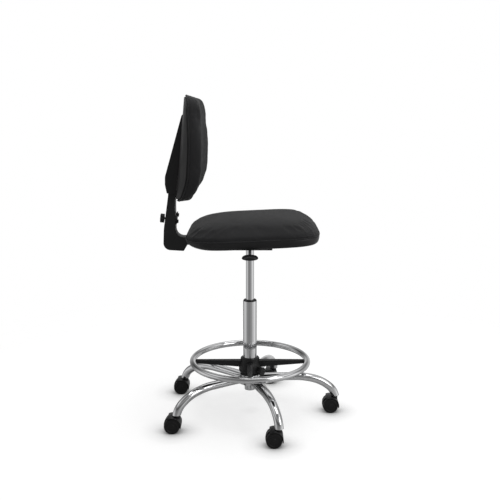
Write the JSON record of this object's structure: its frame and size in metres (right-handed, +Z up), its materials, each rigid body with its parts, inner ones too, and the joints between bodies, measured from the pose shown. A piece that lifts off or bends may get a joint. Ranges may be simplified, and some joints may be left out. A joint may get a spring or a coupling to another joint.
{
  "type": "drafting chair",
  "caption": "Tall swivel drafting chair with chrome star base on casters, gas lift, adjustable foot ring, padded seat and curved backrest.",
  "frame": {"origin": "point on the floor on the column's axis", "axes": "+X to the chair's front, +Y to the sitter's left, +Z up along the column"},
  "size_m": [0.6198, 0.6246, 1.1007],
  "materials": {
    "chrome": "bright polished plating",
    "steel": "plain machined",
    "black_steel": "satin black powder coat",
    "black_plastic": "fine moulded grain, satin",
    "caster_plastic": "smooth black nylon",
    "wheel_plastic": "black nylon",
    "seat_fabric": "plain black woven upholstery",
    "plywood": "bare moulded ply"
  },
  "bodies": {
    "base": {"base_hub": "chrome", "base_leg_1": "chrome", "base_leg_2": "chrome", "base_leg_3": "chrome", "base_leg_4": "chrome", "base_leg_5": "chrome", "column_tube": "chrome", "column_bushing": "black_plastic", "thrust_bearing": "steel"},
    "rod": {"piston_rod": "steel", "retaining_clip": "steel"},
    "seat": {"piston_tube": "chrome", "mechanism_housing": "black_steel", "lever_pivot_pin": "steel", "seat_bolts": "steel", "seat_tray": "black_plastic", "seat_board": "plywood", "seat_cushion": "seat_fabric", "back_bar": "black_steel", "back_bar_bolts": "steel", "back_bar_cover": "black_plastic", "back_clamp_plate": "black_plastic"},
    "release_button": {"release_button": "steel"},
    "lever": {"lever_rod": "black_steel", "lever_paddle": "black_plastic"},
    "backrest": {"back_post": "black_steel", "back_board": "plywood", "back_bolts": "steel", "back_cushion": "seat_fabric", "back_shell": "black_plastic"},
    "back_knob": {"back_knob": "black_plastic"},
    "foot_ring": {"foot_ring": "chrome", "foot_ring_spider": "black_plastic"},
    "foot_ring_knob": {"foot_ring_knob": "black_plastic"},
    "caster_1": {"caster_hood_1": "caster_plastic", "caster_stem_1": "steel", "caster_axle_1": "steel"},
    "wheel_1_left": {"caster_wheel_1_left": "wheel_plastic"},
    "wheel_1_right": {"caster_wheel_1_right": "wheel_plastic"},
    "caster_2": {"caster_hood_2": "caster_plastic", "caster_stem_2": "steel", "caster_axle_2": "steel"},
    "wheel_2_left": {"caster_wheel_2_left": "wheel_plastic"},
    "wheel_2_right": {"caster_wheel_2_right": "wheel_plastic"},
    "caster_3": {"caster_hood_3": "caster_plastic", "caster_stem_3": "steel", "caster_axle_3": "steel"},
    "wheel_3_left": {"caster_wheel_3_left": "wheel_plastic"},
    "wheel_3_right": {"caster_wheel_3_right": "wheel_plastic"},
    "caster_4": {"caster_hood_4": "caster_plastic", "caster_stem_4": "steel", "caster_axle_4": "steel"},
    "wheel_4_left": {"caster_wheel_4_left": "wheel_plastic"},
    "wheel_4_right": {"caster_wheel_4_right": "wheel_plastic"},
    "caster_5": {"caster_hood_5": "caster_plastic", "caster_stem_5": "steel", "caster_axle_5": "steel"},
    "wheel_5_left": {"caster_wheel_5_left": "wheel_plastic"},
    "wheel_5_right": {"caster_wheel_5_right": "wheel_plastic"}
  },
  "joints": [
    {"name": "seat_swivel", "type": "hinge", "parent": "base", "child": "rod", "pos_m": [0, 0, 0.09], "axis": [0, 0, 1], "continuous": true},
    {"name": "seat_height", "type": "slide", "parent": "rod", "child": "seat", "axis": [0, 0, 1], "range_m": [-0.165, 0.025]},
    {"name": "lever_pull", "type": "hinge", "parent": "seat", "child": "lever", "pos_m": [0, -0.042, 0.604], "axis": [-1, 0, 0], "range_deg": [0, 4], "stiffness_Nm_per_rad": 6, "springref_deg": -5.73},
    {"name": "button_press", "type": "slide", "parent": "seat", "child": "release_button", "axis": [0, 0, 1], "range_m": [-0.003, 0], "stiffness_N_per_m": 800, "springref_m": 0.001},
    {"name": "back_height", "type": "slide", "parent": "seat", "child": "backrest", "axis": [0.0958, 0, 0.9954], "range_m": [0, 0.05]},
    {"name": "back_knob_turn", "type": "hinge", "parent": "seat", "child": "back_knob", "pos_m": [-0.29516, 0, 0.69184], "axis": [-0.9954, 0, 0.0958], "range_deg": [0, 540]},
    {"name": "foot_ring_height", "type": "slide", "parent": "base", "child": "foot_ring", "axis": [0, 0, 1], "range_m": [0, 0.15]},
    {"name": "foot_ring_knob_turn", "type": "hinge", "parent": "foot_ring", "child": "foot_ring_knob", "pos_m": [0.0383, -0.03214, 0.158], "axis": [0.766, -0.6428, 0], "range_deg": [0, 540]},
    {"name": "caster_1_swivel", "type": "hinge", "parent": "base", "child": "caster_1", "pos_m": [0.3, 0, 0.05], "axis": [0, 0, 1], "continuous": true},
    {"name": "wheel_1_left_roll", "type": "hinge", "parent": "caster_1", "child": "wheel_1_left", "pos_m": [0.284, 0, 0.026], "axis": [0, 1, 0], "continuous": true},
    {"name": "wheel_1_right_roll", "type": "hinge", "parent": "caster_1", "child": "wheel_1_right", "pos_m": [0.284, 0, 0.026], "axis": [0, 1, 0], "continuous": true},
    {"name": "caster_2_swivel", "type": "hinge", "parent": "base", "child": "caster_2", "pos_m": [0.0927, 0.28532, 0.05], "axis": [0, 0, 1], "continuous": true},
    {"name": "wheel_2_left_roll", "type": "hinge", "parent": "caster_2", "child": "wheel_2_left", "pos_m": [0.0767, 0.28532, 0.026], "axis": [0, 1, 0], "continuous": true},
    {"name": "wheel_2_right_roll", "type": "hinge", "parent": "caster_2", "child": "wheel_2_right", "pos_m": [0.0767, 0.28532, 0.026], "axis": [0, 1, 0], "continuous": true},
    {"name": "caster_3_swivel", "type": "hinge", "parent": "base", "child": "caster_3", "pos_m": [-0.24271, 0.17634, 0.05], "axis": [0, 0, 1], "continuous": true},
    {"name": "wheel_3_left_roll", "type": "hinge", "parent": "caster_3", "child": "wheel_3_left", "pos_m": [-0.25871, 0.17634, 0.026], "axis": [0, 1, 0], "continuous": true},
    {"name": "wheel_3_right_roll", "type": "hinge", "parent": "caster_3", "child": "wheel_3_right", "pos_m": [-0.25871, 0.17634, 0.026], "axis": [0, 1, 0], "continuous": true},
    {"name": "caster_4_swivel", "type": "hinge", "parent": "base", "child": "caster_4", "pos_m": [-0.24271, -0.17634, 0.05], "axis": [0, 0, 1], "continuous": true},
    {"name": "wheel_4_left_roll", "type": "hinge", "parent": "caster_4", "child": "wheel_4_left", "pos_m": [-0.25871, -0.17634, 0.026], "axis": [0, 1, 0], "continuous": true},
    {"name": "wheel_4_right_roll", "type": "hinge", "parent": "caster_4", "child": "wheel_4_right", "pos_m": [-0.25871, -0.17634, 0.026], "axis": [0, 1, 0], "continuous": true},
    {"name": "caster_5_swivel", "type": "hinge", "parent": "base", "child": "caster_5", "pos_m": [0.0927, -0.28532, 0.05], "axis": [0, 0, 1], "continuous": true},
    {"name": "wheel_5_left_roll", "type": "hinge", "parent": "caster_5", "child": "wheel_5_left", "pos_m": [0.0767, -0.28532, 0.026], "axis": [0, 1, 0], "continuous": true},
    {"name": "wheel_5_right_roll", "type": "hinge", "parent": "caster_5", "child": "wheel_5_right", "pos_m": [0.0767, -0.28532, 0.026], "axis": [0, 1, 0], "continuous": true}
  ],
  "couplings": [
    {"joint": "button_press", "follows": "lever_pull", "m_per_rad": -0.042}
  ]
}
